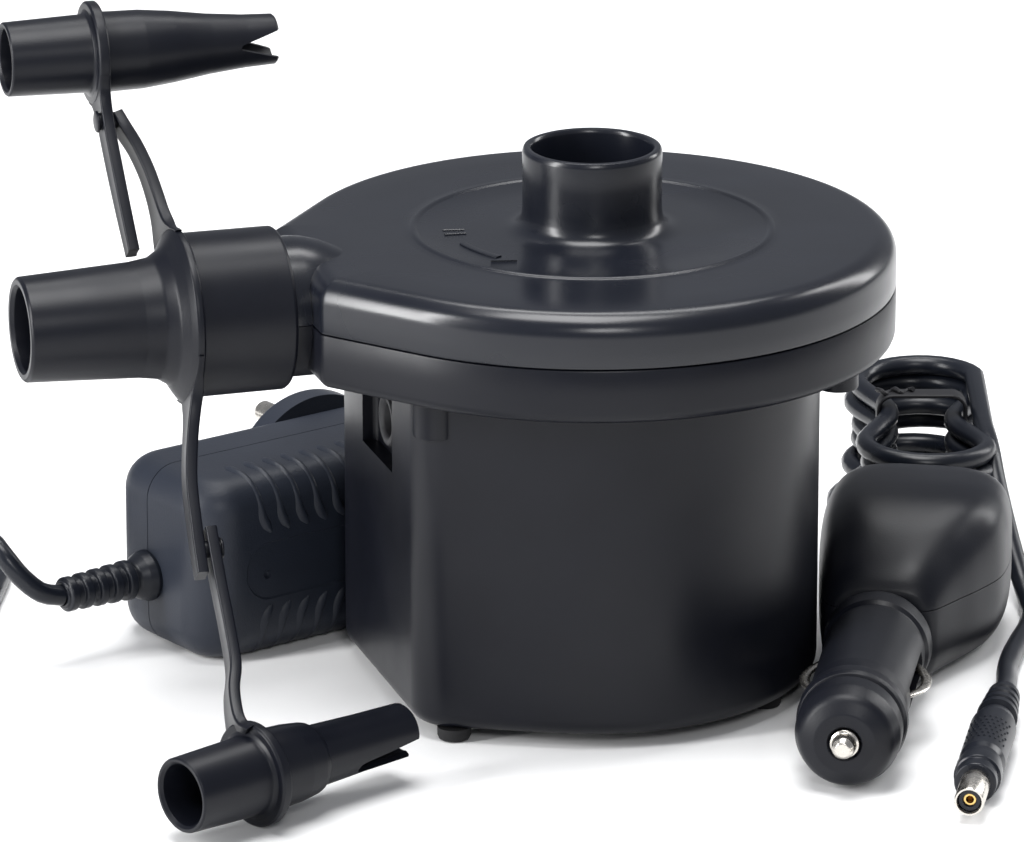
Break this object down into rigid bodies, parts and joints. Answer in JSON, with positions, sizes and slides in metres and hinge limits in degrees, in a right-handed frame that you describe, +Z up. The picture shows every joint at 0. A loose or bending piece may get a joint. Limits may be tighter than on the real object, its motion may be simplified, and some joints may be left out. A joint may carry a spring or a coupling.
{
  "type": "electric air mattress pump",
  "caption": "Round electric air pump with a side outlet and a top inlet, a linked set of nozzles, a wall adapter and a vehicle-socket adapter with their leads.",
  "frame": {"origin": "centre of the motor housing's flat underside, on the impeller's axis; the rubber feet stand 2.5 mm below it", "axes": "+Z up along the impeller's axis and out of the inlet, -X along the outlet"},
  "size_m": [0.2764, 0.2504, 0.1302],
  "materials": {
    "cover_gloss_black": "glossy injection-moulded ABS, near-black with a blue cast",
    "shell_satin_black": "satin moulded ABS with a fine grain",
    "nozzle_black": "satin moulded polyethylene",
    "adapter_black": "finely textured moulded ABS",
    "car_black": "satin moulded ABS",
    "cable_black": "smooth black PVC",
    "tie_black": "matte black PVC",
    "rubber_black": "matte rubber",
    "nickel": "nickel plate, lightly brushed",
    "brass": "polished brass",
    "tinned_brass": "tin plate",
    "screw_steel": "zinc-plated steel",
    "can_steel": "drawn zinc-plated steel",
    "shaft_steel": "ground steel",
    "end_cap_plastic": "matte nylon",
    "magnet": "sintered ferrite",
    "bronze": "sintered bronze",
    "carbon": "carbon",
    "lamination": "stacked silicon steel",
    "copper": "enamelled copper",
    "lead_red": "red and black PVC",
    "impeller_grey": "natural moulded ABS",
    "board_green": "green solder mask",
    "capacitor_blue": "shrink sleeve"
  },
  "bodies": {
    "pump": {"upper_cover": "cover_gloss_black", "lower_volute": "shell_satin_black", "body_shell": "shell_satin_black", "rubber_feet": "rubber_black", "cover_screws": "screw_steel", "body_screws": "screw_steel", "inlet_grille": "shell_satin_black", "motor_can": "can_steel", "motor_end_cap": "end_cap_plastic", "motor_magnets": "magnet", "motor_bushes": "bronze", "motor_brushes": "carbon", "motor_terminals": "tinned_brass", "motor_screws": "screw_steel", "motor_damper": "rubber_black", "jack_housing": "cable_black", "jack_pin": "brass", "jack_contact": "tinned_brass", "power_leads": "lead_red"},
    "rotor": {"impeller": "impeller_grey", "motor_shaft": "shaft_steel", "armature_core": "lamination", "armature_windings": "copper", "commutator": "copper"},
    "main_nozzle": {"main_nozzle": "nozzle_black"},
    "upper_nozzle": {"upper_nozzle": "nozzle_black"},
    "lower_nozzle": {"lower_nozzle": "nozzle_black"},
    "ac_adapter": {"ac_case_front": "adapter_black", "ac_case_back": "adapter_black", "ac_plug_pins": "nickel", "ac_case_screws": "screw_steel", "ac_core": "lamination", "ac_coil": "copper", "ac_board": "board_green", "ac_capacitor": "capacitor_blue", "ac_strain_relief": "cable_black", "ac_cord": "cable_black", "ac_cord_coil": "cable_black", "ac_cord_tie": "tie_black", "ac_plug_grip": "cable_black", "ac_plug_barrel": "nickel"},
    "nose_cap": {"car_nose_cap": "car_black"},
    "tip_contact": {"car_tip_contact": "nickel"},
    "contact_left": {"car_contact_left": "nickel"},
    "contact_right": {"car_contact_right": "nickel"},
    "car_adapter": {"car_case_upper": "car_black", "car_case_lower": "car_black", "car_barrel": "car_black", "car_tip_spring": "shaft_steel", "car_fuse": "nickel", "car_board": "board_green", "car_case_screw": "screw_steel", "car_cord_feed": "cable_black", "car_cord_hank": "cable_black", "car_cord_tie": "tie_black", "car_cord_tail": "cable_black", "car_plug_grip": "cable_black", "car_plug_barrel": "nickel"}
  },
  "joints": [
    {"name": "impeller_spin", "type": "hinge", "parent": "pump", "child": "rotor", "pos_m": [0, 0, 0.04], "axis": [0, 0, 1], "continuous": true},
    {"name": "nozzle_pull", "type": "slide", "parent": "pump", "child": "main_nozzle", "axis": [-1, 0, 0], "range_m": [0, 0.03]},
    {"name": "upper_nozzle_swing", "type": "hinge", "parent": "main_nozzle", "child": "upper_nozzle", "pos_m": [-0.087, 0.02517, 0.10709], "axis": [1, 0, 0], "range_deg": [-35, 35]},
    {"name": "lower_nozzle_swing", "type": "hinge", "parent": "main_nozzle", "child": "lower_nozzle", "pos_m": [-0.0817, -0.02895, 0.04025], "axis": [1, 0, 0], "range_deg": [-40, 0]},
    {"name": "ac_adapter_move", "type": "slide", "parent": "pump", "child": "ac_adapter", "axis": [0, 1, 0], "range_m": [0, 0.12]},
    {"name": "car_adapter_move", "type": "slide", "parent": "pump", "child": "car_adapter", "axis": [1, 0, 0], "range_m": [0, 0.12]},
    {"name": "nose_cap_pull", "type": "slide", "parent": "car_adapter", "child": "nose_cap", "axis": [-0.4384, -0.8988, 0], "range_m": [0, 0.012]},
    {"name": "tip_press", "type": "slide", "parent": "nose_cap", "child": "tip_contact", "axis": [0.4384, 0.8988, 0], "range_m": [0, 0.002], "stiffness_N_per_m": 800, "springref_m": -0.001},
    {"name": "contact_left_press", "type": "slide", "parent": "car_adapter", "child": "contact_left", "axis": [0.8988, -0.4384, 0], "range_m": [0, 0.0018], "stiffness_N_per_m": 800, "springref_m": -0.001},
    {"name": "contact_right_press", "type": "slide", "parent": "car_adapter", "child": "contact_right", "axis": [-0.8988, 0.4384, 0], "range_m": [0, 0.0018], "stiffness_N_per_m": 800, "springref_m": -0.001}
  ]
}
